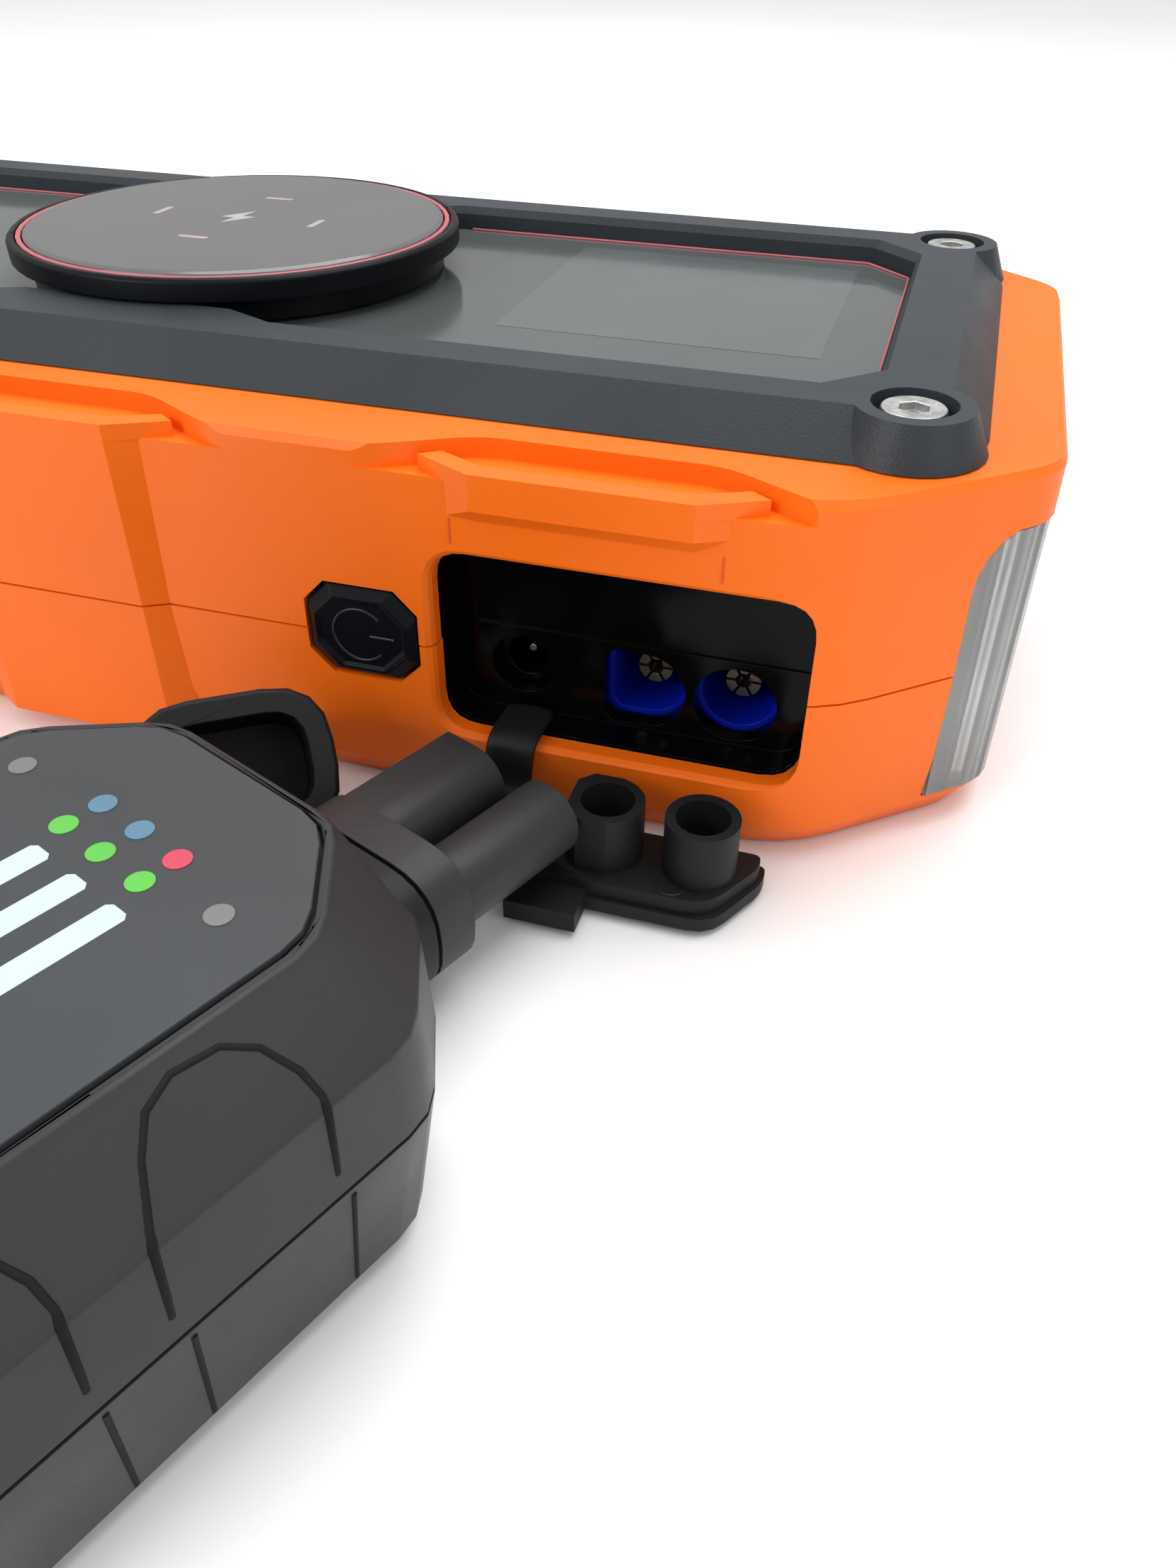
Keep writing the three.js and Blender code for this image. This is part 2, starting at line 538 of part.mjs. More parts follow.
function placeCap(g) {
  const rad = THREE.MathUtils.degToRad;
  return g.rotateX(rad(CAP.tip)).rotateZ(rad(CAP.turn)).translate(CAP.x, CAP.y, CAP.z);
}

// ---- assembly -----------------------------------------------------------
const COLOURS = {
  orange: 0xff6a1a, black: 0x2b2e31, gloss: 0x101214, rubber: 0x26282a, silver: 0xb9bcc0, red: 0xc04a50,
  blue: 0x14309a, clear: 0xdfe4e6, white: 0xf2f2ee, green: 0x1f6b3a, copper: 0xb8723a, cell: 0x3b5f8a,
};

function piece(name, geometry, colour, metalness = 0, roughness = 0.6) {
  const g = geometry.index ? geometry.toNonIndexed() : geometry;
  g.computeVertexNormals();
  const material = new THREE.MeshStandardMaterial({ color: COLOURS[colour], metalness, roughness });
  const mesh = new THREE.Mesh(g, material);
  mesh.name = name;
  return mesh;
}

const group = new THREE.Group();
group.name = 'jump_starter_pack';
group.add(
  piece('lower_shell', lowerShell(), 'orange'),
  piece('upper_shell', upperShell(), 'orange'),
  ...corners(96, 42).map((p, i) => piece(`rubber_foot_${i + 1}`, rubberFoot(p), 'rubber')),
  piece('bezel_frame', bezelFrame(), 'black'),
  ...corners(BOSS.x, BOSS.y).map((p, i) => piece(`bezel_screw_${i + 1}`, socketScrew(p), 'silver', 1, 0.3)),
  piece('glass_panel', glassPanel(), 'gloss', 0, 0.1),
  piece('display_module', displayModule(), 'black'),
  piece('pad_base', padBase(), 'black'),
  piece('pad_ring', padRing(), 'red'),
  piece('pad_top', padTop(), 'gloss', 0, 0.2),
  piece('ferrite_disc', ferriteDisc(), 'rubber'),
  piece('charging_coil', chargingCoil(), 'copper', 1, 0.4),
  piece('port_insert', portInsert(), 'gloss', 0, 0.15),
  piece('socket_housing', socketHousing(), 'blue'),
  piece('socket_contact_d', socketContact(SOCKET.dx), 'copper', 1, 0.35),
  piece('socket_contact_round', socketContact(SOCKET.rx), 'copper', 1, 0.35),
  piece('jack_barrel', jackBarrel(), 'black'),
  piece('jack_pin', jackPin(), 'silver', 1, 0.3),
  piece('power_button', powerButton(), 'black'),
  piece('tact_switch', tactSwitch(), 'black'),
  piece('light_lens', lightLens(), 'clear', 0, 0.1),
  piece('light_reflector', lightReflector(), 'white'),
  piece('light_board', lightBoard(), 'green'),
  ...[[-26, 17], [-26, 34], [26, 17], [26, 34]].map(([y, z], i) => {
    return piece(`light_chip_${i + 1}`, lightChip(y, z), 'white');
  }),
  ...[0, 1, 2].map((k) => piece(`battery_cell_${k + 1}`, batteryCell(k), 'cell')),
  piece('battery_tray', batteryTray(), 'black'),
  piece('main_board', mainBoard(), 'green'),
  piece('bus_bar_front', busBar(-1), 'copper', 1, 0.4),
  piece('bus_bar_rear', busBar(1), 'copper', 1, 0.4),
  piece('port_flap', portFlap(), 'rubber'),
  piece('strap_root', strapRoot(), 'rubber'),
  piece('strap_tail', strapTail(), 'rubber'),
  piece('module_top', moduleTop(), 'black'),
  piece('module_bottom', moduleBottom(), 'black'),
  piece('module_panel', modulePanel(), 'rubber'),
  piece('module_board', moduleBoard(), 'green'),
  piece('plug_housing', plugHousing(), 'black'),
  piece('plug_contact_d', plugContact(-1), 'copper', 1, 0.35),
  piece('plug_contact_round', plugContact(1), 'copper', 1, 0.35),
  piece('cable_gland_left', cableGland(-1), 'rubber'),
  piece('cable_gland_right', cableGland(1), 'rubber'),
  piece('cap_tether', capTether(), 'rubber'),
  piece('plug_cap', placeCap(plugCap()), 'rubber'),
);

export default group;
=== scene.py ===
import json
import math

import bmesh
import bpy
from mathutils import Matrix, Vector


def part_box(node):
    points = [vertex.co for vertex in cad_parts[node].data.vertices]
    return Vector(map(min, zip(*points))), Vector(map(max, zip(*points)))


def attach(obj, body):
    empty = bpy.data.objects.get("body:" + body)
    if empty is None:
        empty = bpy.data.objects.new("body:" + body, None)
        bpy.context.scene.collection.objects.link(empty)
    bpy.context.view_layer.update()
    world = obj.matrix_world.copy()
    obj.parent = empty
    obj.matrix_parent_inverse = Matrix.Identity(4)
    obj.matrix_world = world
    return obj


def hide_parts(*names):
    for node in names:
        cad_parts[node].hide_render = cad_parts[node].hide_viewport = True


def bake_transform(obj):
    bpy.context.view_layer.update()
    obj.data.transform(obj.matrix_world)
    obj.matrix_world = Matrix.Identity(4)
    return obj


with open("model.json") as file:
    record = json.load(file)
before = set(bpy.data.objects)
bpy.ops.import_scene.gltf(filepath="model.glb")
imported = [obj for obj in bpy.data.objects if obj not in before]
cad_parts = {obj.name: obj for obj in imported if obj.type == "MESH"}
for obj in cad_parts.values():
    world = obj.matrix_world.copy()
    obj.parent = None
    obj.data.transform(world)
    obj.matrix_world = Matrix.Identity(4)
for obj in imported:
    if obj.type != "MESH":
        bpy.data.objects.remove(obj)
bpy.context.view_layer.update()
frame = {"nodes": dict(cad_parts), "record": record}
NODES = frame["nodes"]
MM = 0.001
UP = Vector((0, 0, 1))


def axes_matrix(x, y, z, origin):
    """The matrix that has three axes and an origin as its columns."""
    rows = [(x[k], y[k], z[k], origin[k]) for k in range(3)]
    return Matrix((*rows, (0, 0, 0, 1)))


# ---- camera, in metres ----------------------------------------------------
CAMERA_PLACE = Vector((0.1154, -0.18846, 0.10956))
CAMERA_RIGHT = Vector((0.9584, 0.2851, 0.0119)).normalized()
CAMERA_AHEAD = Vector((-0.2191, 0.7621, -0.6092)).normalized()


def make_camera(lens, sensor_width, clip_start):
    camera = bpy.data.objects.new("camera", bpy.data.cameras.new("camera"))
    bpy.context.scene.collection.objects.link(camera)
    bpy.context.scene.camera = camera
    camera.data.lens = lens
    camera.data.sensor_width = sensor_width
    camera.data.clip_start = clip_start
    upward = CAMERA_RIGHT.cross(CAMERA_AHEAD)
    camera.matrix_world = axes_matrix(CAMERA_RIGHT, upward, -CAMERA_AHEAD, CAMERA_PLACE)


make_camera(lens=27.6, sensor_width=36, clip_start=0.01)


# ---- materials ------------------------------------------------------------
NOISE_SPAN = (0.35, 0.65)
NOISE_ROUGHNESS = 0.55


def rgba(value):
    """A colour, or a number as a grey, with full opacity."""
    return (*value, 1) if isinstance(value, tuple) else (value, value, value, 1)


def fill_ramp(node, span, ends):
    """Gives a colour ramp its two stops."""
    for stop, position, end in zip(node.color_ramp.elements, span, ends):
        stop.position = position
        stop.color = rgba(end)


class Shader:
    """A Principled material with helpers for its colour, roughness and bump nodes."""

    def __init__(self, name, **sockets):
        self.material = bpy.data.materials.new(name)
        self.material.use_nodes = True
        self.nodes = self.material.node_tree.nodes
        self.links = self.material.node_tree.links
        self.bsdf = self.nodes["Principled BSDF"]
        for socket, value in sockets.items():
            self.bsdf.inputs[socket.replace("_", " ")].default_value = value
        self.coords = self.nodes.new("ShaderNodeTexCoord").outputs["Object"]

    def noise(self, scale, detail):
        node = self.nodes.new("ShaderNodeTexNoise")
        node.inputs["Scale"].default_value = scale
        node.inputs["Detail"].default_value = detail
        node.inputs["Roughness"].default_value = NOISE_ROUGHNESS
        self.links.new(self.coords, node.inputs["Vector"])
        return node.outputs["Fac"]

    def ramp(self, value, low, high):
        """Spreads a noise value between two colours or two numbers."""
        node = self.nodes.new("ShaderNodeValToRGB")
        fill_ramp(node, NOISE_SPAN, (low, high))
        self.links.new(value, node.inputs["Fac"])
        return node.outputs["Color"]

    def calc(self, operation, *values):
        """A math node on numbers and other nodes' outputs."""
        node = self.nodes.new("ShaderNodeMath")
        node.operation = operation
        for socket, value in zip(node.inputs, values):
            if isinstance(value, float):
                socket.default_value = value
            else:
                self.links.new(value, socket)
        return node.outputs["Value"]

    def set(self, socket, value):
        self.links.new(value, self.bsdf.inputs[socket])

    def bump(self, height, strength, distance):
        node = self.nodes.new("ShaderNodeBump")
        node.inputs["Strength"].default_value = strength
        node.inputs["Distance"].default_value = distance
        self.links.new(height, node.inputs["Height"])
        self.set("Normal", node.outputs["Normal"])


def moulded(name, colour, rough, grain=900.0, depth=0.06, shade=0.12, **sockets):
    """Moulded plastic or rubber: faint colour drift, uneven polish and a fine spark-eroded grain."""
    s = Shader(name, **sockets)
    darker = tuple(c * (1 - shade) for c in colour)
    s.set("Base Color", s.ramp(s.noise(scale=28, detail=3), darker, colour))
    s.set("Roughness", s.ramp(s.noise(scale=60, detail=5), rough - 0.05, rough + 0.06))
    s.bump(s.noise(grain, detail=2), depth, distance=0.0004)
    return s.material


def metal(name, colour, rough):
    """Plain turned or pressed metal with a fine, uneven polish."""
    s = Shader(name, Metallic=1.0)
    darker = tuple(c * 0.8 for c in colour)
    s.set("Base Color", s.ramp(s.noise(scale=400, detail=4), darker, colour))
    s.set("Roughness", s.ramp(s.noise(scale=700, detail=4), rough - 0.06, rough + 0.1))
    s.bump(s.noise(scale=1500, detail=2), strength=0.08, distance=0.0003)
    return s.material


def clear_lens(name, rib_pitch=0.0021, rib_slant=0.57):
    """Clear plastic with fine upright ribs, which run round the end of the pack alike on both sides."""
    s = Shader(name, Transmission_Weight=0.75, IOR=1.46)
    s.set("Base Color", s.ramp(s.noise(scale=40, detail=2), (0.50, 0.51, 0.50), (0.62, 0.63, 0.62)))
    s.set("Roughness", s.ramp(s.noise(scale=90, detail=3), 0.10, 0.2))
    split = s.nodes.new("ShaderNodeSeparateXYZ")
    s.links.new(s.coords, split.inputs["Vector"])
    across = s.calc("MULTIPLY_ADD", split.outputs["X"], rib_slant, s.calc("ABSOLUTE", split.outputs["Y"]))
    wave = s.calc("SINE", s.calc("MULTIPLY", across, 2 * math.pi / rib_pitch))
    s.bump(s.calc("MULTIPLY_ADD", wave, 0.5, 0.5), strength=0.9, distance=0.0006)
    return s.material


DARK = {"Specular_IOR_Level": 0.22}
DARKEST = {"Specular_IOR_Level": 0.12}
POLISHED = {"grain": 60, "depth": 0.01}
GLASSY = {**POLISHED, "shade": 0.1}
PRINTED = {"shade": 0.2}

# name: colour, roughness, and what differs from the defaults of moulded()
MOULDED = {
    "orange_shell": ((0.90, 0.150, 0.003), 0.46, {"depth": 0.05, "shade": 0.06, "Specular_IOR_Level": 0.3}),
    # painted shade: a darker orange that stands for the shade in the fine steps of the bumper
    "step_shade_orange": ((0.70, 0.09, 0.003), 0.5, {}),
    "black_rubber": ((0.010, 0.0105, 0.0115), 0.50, DARK),
    "black_plastic": ((0.004, 0.005, 0.007), 0.36, DARKEST),
    "gloss_black": ((0.0015, 0.0018, 0.002), 0.16, {**POLISHED, **DARKEST}),
    "mark_black": ((0.012, 0.013, 0.015), 0.35, {}),
    # painted shade: a near-black colour that stands for the shade inside the module's moulded grooves
    "groove_shade_black": ((0.011, 0.0115, 0.012), 0.6, {"Specular_IOR_Level": 0.1}),
    "bezel_plastic": ((0.032, 0.039, 0.046), 0.42, {"grain": 2600, "depth": 0.22, **DARK}),
    "module_plastic": ((0.030, 0.0315, 0.034), 0.42, {"depth": 0.08, **DARK}),
    "panel_film": ((0.052, 0.056, 0.060), 0.42, {"grain": 300, "depth": 0.02, **DARK}),
    "smoked_panel": ((0.082, 0.090, 0.090), 0.12, GLASSY),
    "screen": ((0.100, 0.114, 0.114), 0.14, GLASSY),
    "pad_gloss": ((0.105, 0.100, 0.104), 0.18, GLASSY),
    "red_trim": ((0.46, 0.10, 0.12), 0.35, {}),
    "blue_plastic": ((0.001, 0.010, 0.34), 0.4, DARK),
    "white_plastic": ((0.20, 0.205, 0.20), 0.4, {}),
    "led_phosphor": ((0.75, 0.66, 0.12), 0.4, {}),
    "circuit_board": ((0.02, 0.10, 0.045), 0.35, {}),
    "cell_wrap": ((0.06, 0.14, 0.28), 0.25, {}),
    "ferrite": ((0.07, 0.07, 0.075), 0.6, {}),
    "faint_print": ((0.40, 0.41, 0.42), 0.3, PRINTED),
    "pink_print": ((0.46, 0.36, 0.38), 0.3, PRINTED),
    "white_print": ((0.50, 0.58, 0.62), 0.45, {"shade": 0.08}),
    "module_light_blue": ((0.10, 0.22, 0.33), 0.35, PRINTED),
    "module_light_red": ((0.62, 0.05, 0.10), 0.35, PRINTED),
    "module_light_green": ((0.10, 0.50, 0.06), 0.35, PRINTED),
    "module_light_grey": ((0.17, 0.17, 0.17), 0.45, PRINTED),
}
METALS = {
    "screw_steel": ((0.50, 0.50, 0.49), 0.42),
    "contact_metal": ((0.26, 0.24, 0.20), 0.42),
}
MATERIALS = {name: moulded(name, colour, rough, **rest) for name, (colour, rough, rest) in MOULDED.items()}
MATERIALS.update({name: metal(name, colour, rough) for name, (colour, rough) in METALS.items()})
MATERIALS["clear_lens"] = clear_lens("clear_lens")


# ---- CAD nodes: weld, round the edges, give each its material --------------
EDGE_MM = {
    "orange_shell": 0.9,
    "bezel_plastic": 0.5,
    "module_plastic": 1.1,
    "black_rubber": 0.35,
    "clear_lens": 0.25,
}
OTHER_EDGE_MM = 0.2
SHARPEST_SMOOTH = math.radians(26)


def finish_node(node, slot):
    mesh = node.data
    if "custom_normal" in mesh.attributes:
        mesh.attributes.remove(mesh.attributes["custom_normal"])
    mesh.shade_smooth()
    weld = node.modifiers.new("weld", "WELD")
    weld.merge_threshold = 0.00001
    bevel = node.modifiers.new("rounding", "BEVEL")
    bevel.width = EDGE_MM.get(slot, OTHER_EDGE_MM) * MM
    bevel.segments = 3
    bevel.limit_method = "ANGLE"
    bevel.angle_limit = SHARPEST_SMOOTH
    bevel.harden_normals = True
    mesh.materials.clear()
    mesh.materials.append(MATERIALS[slot])


for row in frame["record"]["subparts"]:
    finish_node(NODES[row["node"]], row["material_slot"])


# ---- places taken from the frame, in millimetres ---------------------------
CONTACT_TO_TIP = 7.45


def box_mm(name):
    low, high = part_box(name)
    return Vector(low) / MM, Vector(high) / MM


def joint(name):
    return next(j for j in frame["record"]["behaviour"]["joints"] if j["name"] == name)


def module_frame():
    """The cable module's own axes: its plug looks along +Y and its prong tips lie on y = 0."""
    ahead = -Vector(joint("module_draw")["axis"]).normalized()
    boxes = [box_mm("plug_contact_d"), box_mm("plug_contact_round")]
    middle = sum((low + high for low, high in boxes), Vector()) / 4
    tips = middle + ahead * CONTACT_TO_TIP
    return axes_matrix(ahead.cross(UP), ahead, UP, (tips.x, tips.y, 0))


MODULE = module_frame()
PANEL_TOP = box_mm("module_panel")[1].z
GLASS_TOP = box_mm("glass_panel")[1].z
PAD_TOP = box_mm("pad_top")[1].z
BUTTON_FRONT = box_mm("power_button")[0].y
IDENTITY = Matrix.Identity(4)


# ---- builders: all of them take millimetres --------------------------------
def put(name, data, material, body, place=IDENTITY):
    """Makes an object from data drawn in millimetres, gives it its material and lets it ride a body."""
    obj = bpy.data.objects.new(name, data)
    data.materials.append(material)
    data.transform(Matrix.Scale(MM, 4) @ place)
    bpy.context.scene.collection.objects.link(obj)
    if body:
        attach(obj, body)
    return obj


def to_mesh(name, bm):
    """Turns a bmesh into a mesh with its faces looking outwards."""
    bmesh.ops.recalc_face_normals(bm, faces=bm.faces)
    mesh = bpy.data.meshes.new(name)
    bm.to_mesh(mesh)
    bm.free()
    return mesh


def plate(name, outline, z, thick, material, body, place=IDENTITY):
    """A flat plate from an outline of (x, y) points, standing on z."""
    bm = bmesh.new()
    face = bm.faces.new([bm.verts.new((x, y, z)) for x, y in outline])
    top = bmesh.ops.extrude_face_region(bm, geom=[face])["geom"]
    bmesh.ops.translate(bm, vec=(0, 0, thick), verts=[v for v in top if isinstance(v, bmesh.types.BMVert)])
    return put(name, to_mesh(name, bm), material, body, place)


def tube(name, points, radius, material, body, place=IDENTITY, closed=False):
    """A round wire through the points."""
    curve = bpy.data.curves.new(name, "CURVE")
    curve.dimensions = "3D"
    curve.bevel_depth = radius
    curve.bevel_resolution = 3
    curve.use_fill_caps = True
    spline = curve.splines.new("POLY")
    spline.points.add(len(points) - 1)
    for target, point in zip(spline.points, points):
        target.co = (*point, 1)
    spline.use_cyclic_u = closed
    obj = bpy.data.objects.new(name, curve)
    mesh = bpy.data.meshes.new_from_object(obj)
    bpy.data.objects.remove(obj)
    mesh.shade_smooth()
    return put(name, mesh, material, body, place)


def arc(cx, cy, r, start, end, steps):
    turns = [math.radians(start + (end - start) * i / steps) for i in range(steps + 1)]
    return [(cx + r * math.cos(t), cy + r * math.sin(t)) for t in turns]


def circle(cx, cy, r, sides=24):
    return arc(cx, cy, r, 0, 360 - 360 / sides, sides - 1)


def pill(cx, cy, length, width, along):
    """The outline of a bar with round ends; along is its direction in degrees."""
    half = (length - width) / 2
    ends = arc(half, 0, width / 2, -90, 90, 8) + arc(-half, 0, width / 2, 90, 270, 8)
    c, s = math.cos(math.radians(along)), math.sin(math.radians(along))
    return [(cx + x * c - y * s, cy + x * s + y * c) for x, y in ends]


# ---- the cover's rubber strap, bent over the lip of the bay -----------------
STRAP_LINE = [(-53.3, 13.6), (-56, 13.6), (-59, 13.65), (-60.8, 13.5), (-62, 12.9), (-62.7, 11.6),
              (-62.9, 10), (-62.9, 8.6), (-63.2, 7.3), (-64, 6.3), (-65.3, 5.8), (-67, 5.75), (-70.2, 5.75)]
STRAP_ROOT_X, STRAP_TAIL_X = 68.3, 67.3
STRAP_HALF_WIDTH, STRAP_HALF_THICK = 3.5, 0.68
STRAP_SECTION = ((-1, -0.5), (-0.9, -1), (0.9, -1), (1, -0.5), (1, 0.5), (0.9, 1), (-0.9, 1), (-1, 0.5))


def strap_ring(bm, i):
    """The strap's section, square to its middle line at the line's point i."""
    last = len(STRAP_LINE) - 1
    before, after = Vector(STRAP_LINE[max(i - 1, 0)]), Vector(STRAP_LINE[min(i + 1, last)])
    t = (after - before).normalized()
    normal = Vector((-t.y, t.x))
    x = STRAP_ROOT_X + (STRAP_TAIL_X - STRAP_ROOT_X) * i / last
    y, z = STRAP_LINE[i]
    ring = []
    for u, v in STRAP_SECTION:
        off = v * STRAP_HALF_THICK
        ring.append(bm.verts.new((x + u * STRAP_HALF_WIDTH, y + normal.x * off, z + normal.y * off)))
    return ring


def strap():
    bm = bmesh.new()
    rings = [strap_ring(bm, i) for i in range(len(STRAP_LINE))]
    for a, b in zip(rings, rings[1:]):
        for k in range(len(a)):
            n = (k + 1) % len(a)
            bm.faces.new((a[k], a[n], b[n], b[k]))
    bm.faces.new(rings[0])
    bm.faces.new(rings[-1])
    mesh = to_mesh("cover_strap", bm)
    mesh.shade_smooth()
    obj = put("cover_strap", mesh, MATERIALS["black_rubber"], None)
    smooth = obj.modifiers.new("smooth", "SUBSURF")
    smooth.levels = smooth.render_levels = 2
    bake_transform(obj)
    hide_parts("strap_root", "strap_tail")


strap()


# ---- power mark on the button -----------------------------------------------
BUTTON_MARK_X, BUTTON_MARK_Z = 46.6, 26.2
BUTTON_DISH = 0.4
MARK_WIRE = 0.22


def button_mark():
    """An open ring, with the power sign's bar in its gap."""
    face = BUTTON_FRONT + BUTTON_DISH
    ring = [(x, face, z) for x, z in arc(BUTTON_MARK_X, BUTTON_MARK_Z, 3.9, 42, 318, 30)]
    bar = [(BUTTON_MARK_X + x, face, BUTTON_MARK_Z) for x in (1.5, 5.0)]
    for name, path in (("power_mark_ring", ring), ("power_mark_bar", bar)):
        tube(name, path, MARK_WIRE, MATERIALS["mark_black"], "button")


button_mark()


# ---- charging pad marks, screen and trim on the deck ------------------------
PRINT_SINK = 0.02
PRINT_THICK = 0.06
BOLT = [(0.9, 4.6), (-2.8, -0.7), (-0.4, -0.7), (-0.9, -4.6), (2.8, 0.7), (0.4, 0.7)]
DASH_FROM_MIDDLE, DASH_LENGTH, DASH_WIDTH = 14, 5.2, 1.1
TRIM_START, TRIM_CORNER, TRIM_IN, TRIM_LIFT = 27, 7.5, 0.35, 0.12


def pad_marks():
    z = PAD_TOP - PRINT_SINK
    plate("bolt_mark", BOLT, z, PRINT_THICK, MATERIALS["faint_print"], "pack")
    for k in range(4):
        turn = math.radians(90 * k)
        x, y = DASH_FROM_MIDDLE * math.cos(turn), DASH_FROM_MIDDLE * math.sin(turn)
        outline = pill(x, y, DASH_LENGTH, DASH_WIDTH, along=90 * k + 90)
        plate(f"pad_dash_{k + 1}", outline, z, PRINT_THICK, MATERIALS["pink_print"], "pack")


def screen_window():
    low, high = box_mm("display_module")
    outline = [(low.x, low.y), (high.x, low.y), (high.x, high.y), (low.x, high.y)]
    plate("screen_window", outline, GLASS_TOP - PRINT_SINK, PRINT_THICK, MATERIALS["screen"], "pack")


def trim():
    """A red line just inside the glass's edge, on both sides of the charging pad."""
    corner = box_mm("glass_panel")[1]
    x, y, c = corner.x - TRIM_IN, corner.y - TRIM_IN, TRIM_CORNER
    path = [(TRIM_START, -y), (x - c, -y), (x, -y + c), (x, y - c), (x - c, y), (TRIM_START, y)]
    for name, sign in (("trim_right", 1), ("trim_left", -1)):
        points = [(sign * px, py, GLASS_TOP + TRIM_LIFT) for px, py in path]
        tube(name, points, MARK_WIRE, MATERIALS["red_trim"], "pack")


pad_marks()
screen_window()
trim()


# ---- cable module, in its own axes: printed lights and bars ------------------
LIGHT_PLACES = {
    "module_light_blue": ((-5.6, -50.2), (0.4, -50.2)),
    "module_light_red": ((6.5, -50.4),),
    "module_light_green": ((-5.6, -54.3), (0.4, -54.3), (6.5, -54.3)),
    "module_light_grey": ((-16.9, -51.9), (15.2, -52.4)),
}
LIGHT_RADIUS = 1.35
LIGHT_THICK = 0.12
BARS_X = (-3.8, 2.2, 8.2)
BAR_HALF, BAR_TIP_HALF = 1.45, 0.9
BAR_REAR, BAR_SHOULDER, BAR_TIP = -85.5, -57.9, -57.4


def module_lights(z):
    for slot, places in LIGHT_PLACES.items():
        for k, (x, y) in enumerate(places):
            outline = circle(x, y, LIGHT_RADIUS)
            plate(f"{slot}_{k + 1}", outline, z, LIGHT_THICK, MATERIALS[slot], "cable_module", MODULE)


def module_bars(z):
    outline = [(-BAR_HALF, BAR_REAR), (BAR_HALF, BAR_REAR), (BAR_HALF, BAR_SHOULDER),
               (BAR_TIP_HALF, BAR_TIP), (-BAR_TIP_HALF, BAR_TIP), (-BAR_HALF, BAR_SHOULDER)]
    for k, x in enumerate(BARS_X):
        bar = [(x + dx, y) for dx, y in outline]
        plate(f"print_bar_{k + 1}", bar, z, PRINT_THICK, MATERIALS["white_print"], "cable_module", MODULE)


module_lights(PANEL_TOP - PRINT_SINK)
module_bars(PANEL_TOP - PRINT_SINK)


# ---- cable module, in its own axes: moulded grooves --------------------------
ARCH = [(33.3, -73.2, 23.6), (33.05, -72.7, 31.2), (32.1, -72.2, 31.9), (28.4, -69.8, 34.4),
        (26.2, -67.6, 36.0), (25.2, -64.6, 36.7), (25.6, -60.4, 36.4), (27.2, -58.0, 35.3),
        (30.0, -56.6, 33.4), (32.1, -56.4, 31.9), (33.05, -56.7, 31.2), (33.3, -57.1, 23.6)]
ARCH_PITCH = 23.2
ARCH_WIRE, ARCH_SINK = 0.42, 0.22
RIBS_Y = (-56.0, -72.2, -79.9, -95.6)
RIB_WIRE = 0.35
RIB_TOP, RIB_FOOT = (33.2, 0, 19.4), (30.75, 0.3, 3.4)


def module_grooves():
    """Two arched grooves over each shoulder, and short upright ones below the seam, drawn as near-black
    lines that paint the shade inside the grooves.
    """
    groove = MATERIALS["groove_shade_black"]
    for side, sign in (("right", 1), ("left", -1)):
        for k in range(2):
            path = [(sign * (x - ARCH_SINK), y - ARCH_PITCH * k, z - ARCH_SINK) for x, y, z in ARCH]
            tube(f"module_arch_{side}_{k + 1}", path, ARCH_WIRE, groove, "cable_module", MODULE)
        for k, y in enumerate(RIBS_Y):
            path = [(sign * x, y + dy, z) for x, dy, z in (RIB_TOP, RIB_FOOT)]
            tube(f"module_rib_{side}_{k + 1}", path, RIB_WIRE, groove, "cable_module", MODULE)


module_grooves()


# ---- small marks on the cover and the shell ----------------------------------
COVER_TOP = 5.0
COVER_MARK_X, COVER_MARK_Y, COVER_MARK_RADIUS = 94.1, -75.1, 1.8
SHELL_LINES_X = (60.3, 95.0)
SHELL_LINE_FOOT, SHELL_LINE_TOP = (-61.2, 41.6), (-61.12, 45.0)
FINE_WIRE = 0.12


def small_marks():
    """A ring moulded in the cover, and two fine steps in the bumper above the bay, drawn as darker orange
    lines that paint the shade in the steps.
    """
    ring = [(x, y, COVER_TOP + PRINT_SINK) for x, y in circle(COVER_MARK_X, COVER_MARK_Y, COVER_MARK_RADIUS)]
    tube("cover_mark", ring, FINE_WIRE, MATERIALS["mark_black"], "port_cover", closed=True)
    for k, x in enumerate(SHELL_LINES_X):
        path = [(x, *SHELL_LINE_FOOT), (x, *SHELL_LINE_TOP)]
        tube(f"shell_line_{k + 1}", path, FINE_WIRE, MATERIALS["step_shade_orange"], "pack")


small_marks()


# ---- floor and light, in metres ----------------------------------------------
FLOOR_HALF = 6
FLOOR_DROP = 0.0004
HORIZON, OVERHEAD = 0.42, 1.0
WORLD_SPAN = (0.05, 0.75)
WORLD_STRENGTH = 0.95


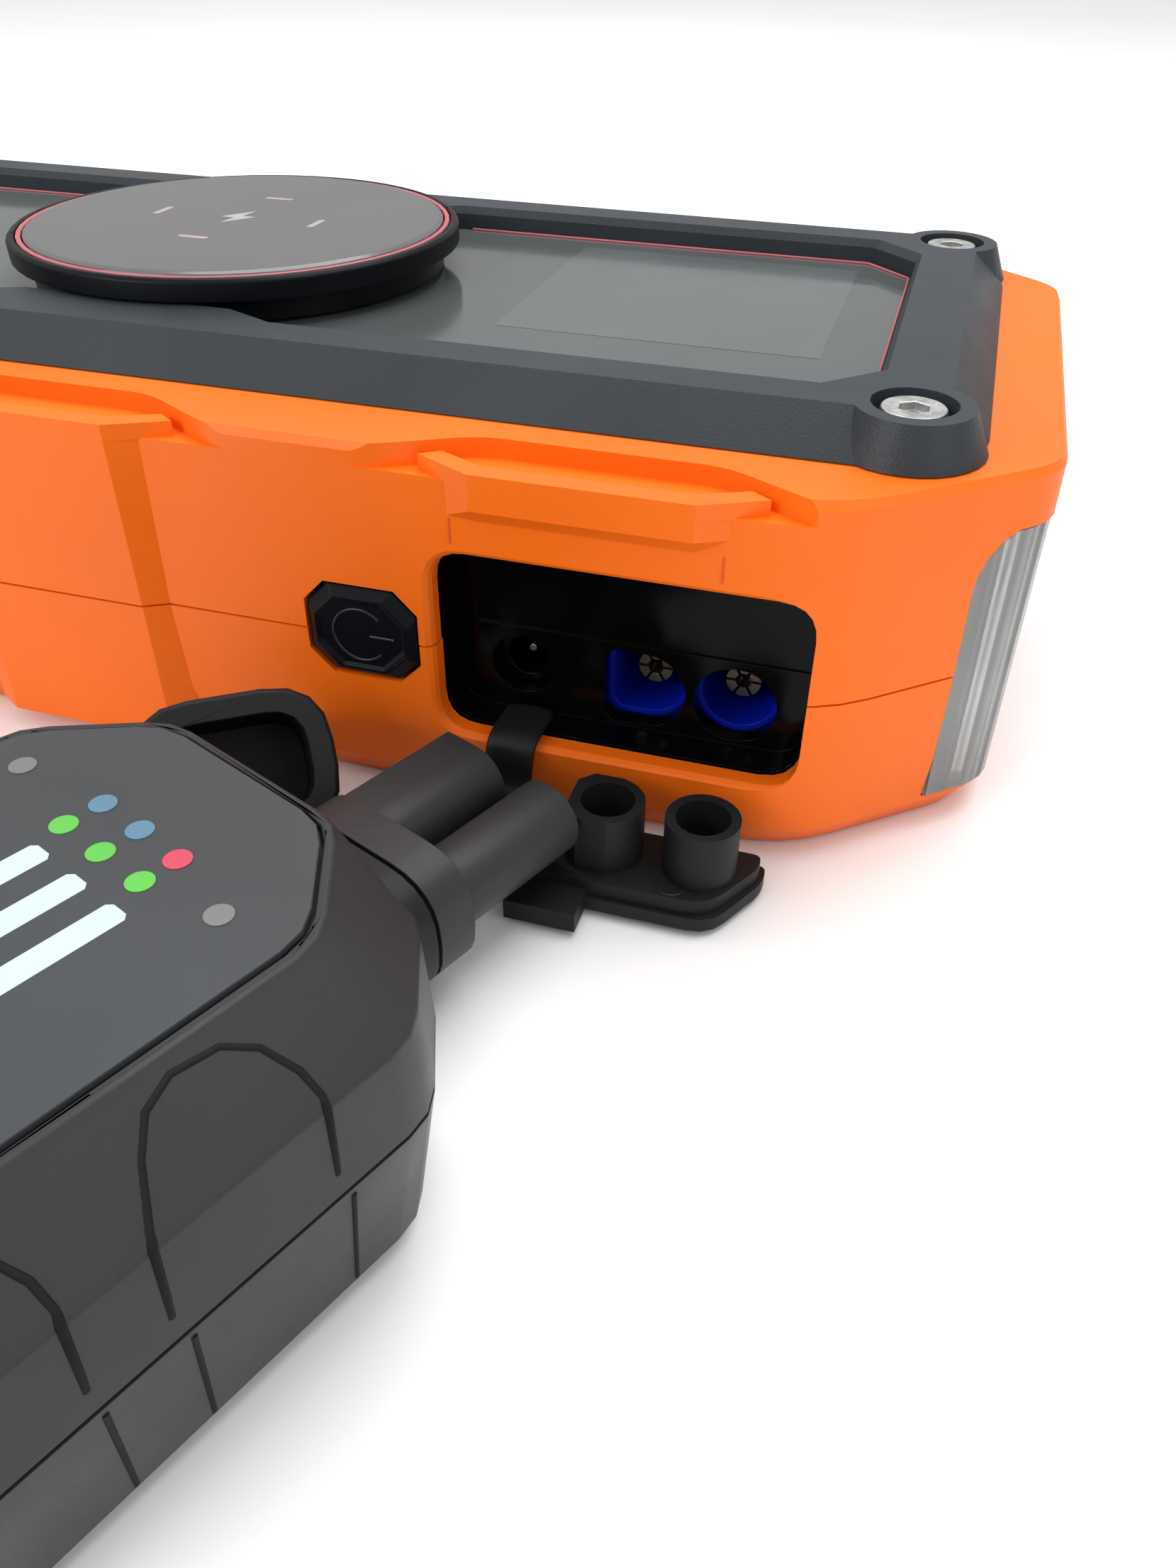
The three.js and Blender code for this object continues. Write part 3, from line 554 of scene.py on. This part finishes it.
def make_floor():
    bm = bmesh.new()
    bmesh.ops.create_grid(bm, x_segments=2, y_segments=2, size=FLOOR_HALF)
    mesh = bpy.data.meshes.new("floor")
    bm.to_mesh(mesh)
    bm.free()
    floor = bpy.data.objects.new("floor", mesh)
    floor.location.z = -FLOOR_DROP
    bpy.context.scene.collection.objects.link(floor)
    s = Shader("pale_floor")
    s.set("Base Color", s.ramp(s.noise(scale=2, detail=2), 0.86, 0.90))
    s.set("Roughness", s.ramp(s.noise(scale=5, detail=2), 0.75, 0.85))
    mesh.materials.append(s.material)


def studio_world():
    """Bright overhead and dimmer towards the horizon, so that black plastic stays black."""
    world = bpy.data.worlds.new("studio")
    world.use_nodes = True
    nodes, links = world.node_tree.nodes, world.node_tree.links
    split = nodes.new("ShaderNodeSeparateXYZ")
    links.new(nodes.new("ShaderNodeTexCoord").outputs["Generated"], split.inputs["Vector"])
    ramp = nodes.new("ShaderNodeValToRGB")
    fill_ramp(ramp, WORLD_SPAN, (HORIZON, OVERHEAD))
    links.new(split.outputs["Z"], ramp.inputs["Fac"])
    links.new(ramp.outputs["Color"], nodes["Background"].inputs["Color"])
    nodes["Background"].inputs["Strength"].default_value = WORLD_STRENGTH
    bpy.context.scene.world = world


def area_light(name, place, aim, size, power):
    light = bpy.data.lights.new(name, "AREA")
    light.shape = "RECTANGLE"
    light.size, light.size_y = size
    light.energy = power
    lamp = bpy.data.objects.new(name, light)
    lamp.location = place
    lamp.rotation_euler = (Vector(aim) - Vector(place)).to_track_quat("-Z", "Y").to_euler()
    bpy.context.scene.collection.objects.link(lamp)


make_floor()
studio_world()
bpy.context.scene.view_settings.view_transform = "Standard"
area_light("top_box", place=(0.1, 0.25, 0.9), aim=(0, 0, 0), size=(0.9, 0.7), power=8)
area_light("front_left_box", place=(-0.5, -0.8, 0.5), aim=(0, -0.03, 0.03), size=(0.6, 0.4), power=4)
area_light("right_box", place=(0.9, -0.5, 0.45), aim=(0.05, -0.03, 0.03), size=(0.5, 0.5), power=1)
